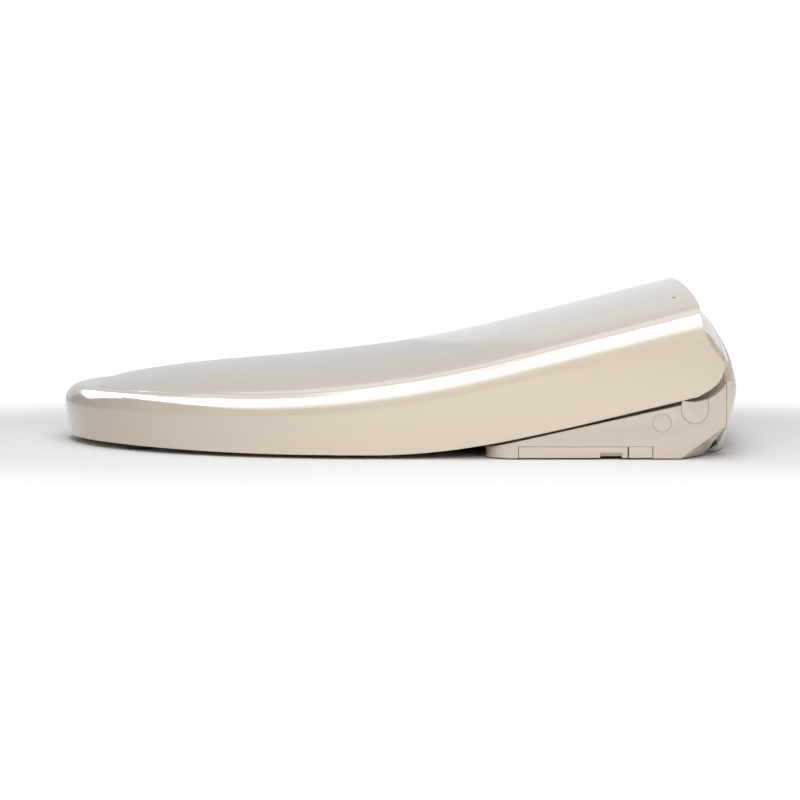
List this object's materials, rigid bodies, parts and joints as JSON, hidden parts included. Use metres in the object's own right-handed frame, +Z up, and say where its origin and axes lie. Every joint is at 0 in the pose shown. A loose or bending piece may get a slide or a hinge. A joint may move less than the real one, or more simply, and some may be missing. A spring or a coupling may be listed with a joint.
{
  "type": "electric bidet seat",
  "caption": "Elongated electric bidet seat in glossy beige: hinged domed lid, heated seat ring and a low spray unit that slides off a bolted base plate.",
  "frame": {"origin": "midway between the two bowl-bolt holes, on the bowl rim plane that the unit and the seat stand on", "axes": "+Z up off the rim, +Y to the rear (the cistern), X across the bowl; the seated user faces -Y"},
  "size_m": [0.3856, 0.5202, 0.122],
  "materials": {
    "shell_beige": "high gloss, warm beige",
    "tray_plastic": "fine-grained, beige-grey",
    "plate_plastic": "plain moulded, off-white",
    "soft_rubber": "soft, dark grey",
    "buffer_rubber": "soft, beige",
    "wand_plastic": "smooth, white",
    "white_plastic": "plain moulded, white",
    "steel": "brushed",
    "dark_plastic": "plain, black",
    "lens_dark": "dark infra-red window",
    "motor_steel": "plated cans",
    "tank_plastic": "glass-filled, dark",
    "hose_rubber": "soft silicone, milky",
    "brass_fitting": "plain brass",
    "board_green": "glass-epoxy board",
    "component_black": "moulded parts",
    "heater_film": "film heater",
    "loom_black": "sleeved wires"
  },
  "bodies": {
    "base_plate": {"base_plate": "plate_plastic", "plate_pads": "soft_rubber"},
    "bolt_slider_left": {"bolt_slider_left": "plate_plastic"},
    "bolt_slider_right": {"bolt_slider_right": "plate_plastic"},
    "main_unit": {"lower_case": "tray_plastic", "upper_case": "shell_beige", "rear_cover": "shell_beige", "hinge_cover_left": "shell_beige", "hinge_cover_right": "shell_beige", "screw_plugs": "shell_beige", "receiver_window": "lens_dark", "hinge_bushes": "white_plastic", "unit_feet": "soft_rubber", "case_screws": "steel", "seat_damper": "dark_plastic", "lid_damper": "dark_plastic", "wand_cradle": "white_plastic", "wand_wiper": "soft_rubber", "wand_motor": "motor_steel", "inlet_fitting": "brass_fitting", "filter_housing": "white_plastic", "solenoid_valve": "white_plastic", "water_heater": "tank_plastic", "pump": "motor_steel", "valve_hose": "hose_rubber", "heater_hose": "hose_rubber", "wand_hose": "hose_rubber", "dryer_housing": "white_plastic", "dryer_motor": "motor_steel", "dryer_duct": "white_plastic", "fan_housing": "white_plastic", "main_board": "board_green", "board_components": "component_black", "board_posts": "white_plastic", "power_module": "tank_plastic", "cord_gland": "dark_plastic", "wiring_loom": "loom_black", "button_spring": "steel"},
    "seat": {"seat_top": "shell_beige", "seat_base": "tray_plastic", "seat_heater": "heater_film", "seat_buffers": "buffer_rubber", "seat_hinge_shaft": "steel"},
    "lid": {"lid_shell": "shell_beige", "lid_buffers": "buffer_rubber", "lid_hinge_shaft": "steel"},
    "filter_drawer": {"drawer_front": "shell_beige", "deodorizer_filter": "dark_plastic"},
    "release_button": {"release_button": "shell_beige"},
    "inlet_filter": {"inlet_filter_cap": "wand_plastic"},
    "wand_sleeve": {"wand_sleeve": "wand_plastic"},
    "wand": {"wand_tube": "wand_plastic", "wand_tip": "wand_plastic"},
    "wand_pinion": {"wand_pinion": "dark_plastic"},
    "dryer_impeller": {"dryer_impeller": "dark_plastic"},
    "fan_impeller": {"fan_impeller": "dark_plastic"},
    "dryer_flap": {"dryer_flap": "white_plastic"}
  },
  "joints": [
    {"name": "unit_slide", "type": "slide", "parent": "base_plate", "child": "main_unit", "axis": [0, -1, 0], "range_m": [0, 0.03]},
    {"name": "bolt_slide_left", "type": "slide", "parent": "base_plate", "child": "bolt_slider_left", "axis": [1, 0, 0], "range_m": [-0.008, 0.008]},
    {"name": "bolt_slide_right", "type": "slide", "parent": "base_plate", "child": "bolt_slider_right", "axis": [1, 0, 0], "range_m": [-0.008, 0.008]},
    {"name": "seat_hinge", "type": "hinge", "parent": "main_unit", "child": "seat", "pos_m": [0, 0.005, 0.07], "axis": [-1, 0, 0], "range_deg": [0, 95]},
    {"name": "lid_hinge", "type": "hinge", "parent": "seat", "child": "lid", "pos_m": [0, 0.005, 0.07], "axis": [1, 0, 0], "range_deg": [-98, 0]},
    {"name": "drawer_slide", "type": "slide", "parent": "main_unit", "child": "filter_drawer", "axis": [1, 0, 0], "range_m": [0, 0.07]},
    {"name": "button_press", "type": "slide", "parent": "main_unit", "child": "release_button", "axis": [-1, 0, 0], "range_m": [0, 0.003], "stiffness_N_per_m": 800, "springref_m": -0.002},
    {"name": "strainer_turn", "type": "hinge", "parent": "main_unit", "child": "inlet_filter", "pos_m": [-0.19, -0.048, 0.0145], "axis": [-1, 0, 0], "range_deg": [0, 90]},
    {"name": "sleeve_slide", "type": "slide", "parent": "main_unit", "child": "wand_sleeve", "axis": [0, -0.9272, -0.3746], "range_m": [0, 0.02]},
    {"name": "wand_slide", "type": "slide", "parent": "wand_sleeve", "child": "wand", "axis": [0, -0.9272, -0.3746], "range_m": [0, 0.09]},
    {"name": "pinion_spin", "type": "hinge", "parent": "main_unit", "child": "wand_pinion", "pos_m": [0, -0.03866, 0.05988], "axis": [-1, 0, 0], "range_deg": [0, 195]},
    {"name": "dryer_fan_spin", "type": "hinge", "parent": "main_unit", "child": "dryer_impeller", "pos_m": [0.074, -0.016, 0.025], "axis": [0, 0, 1], "continuous": true},
    {"name": "scent_fan_spin", "type": "hinge", "parent": "main_unit", "child": "fan_impeller", "pos_m": [0.128, -0.03, 0.018], "axis": [0, 0, 1], "continuous": true},
    {"name": "flap_swing", "type": "hinge", "parent": "main_unit", "child": "dryer_flap", "pos_m": [0.032, -0.1125, 0.0176], "axis": [-1, 0, 0], "range_deg": [0, 60]}
  ],
  "couplings": [
    {"joint": "wand_slide", "follows": "sleeve_slide", "ratio": 4.5},
    {"joint": "pinion_spin", "follows": "sleeve_slide", "rad_per_m": 166.67}
  ]
}
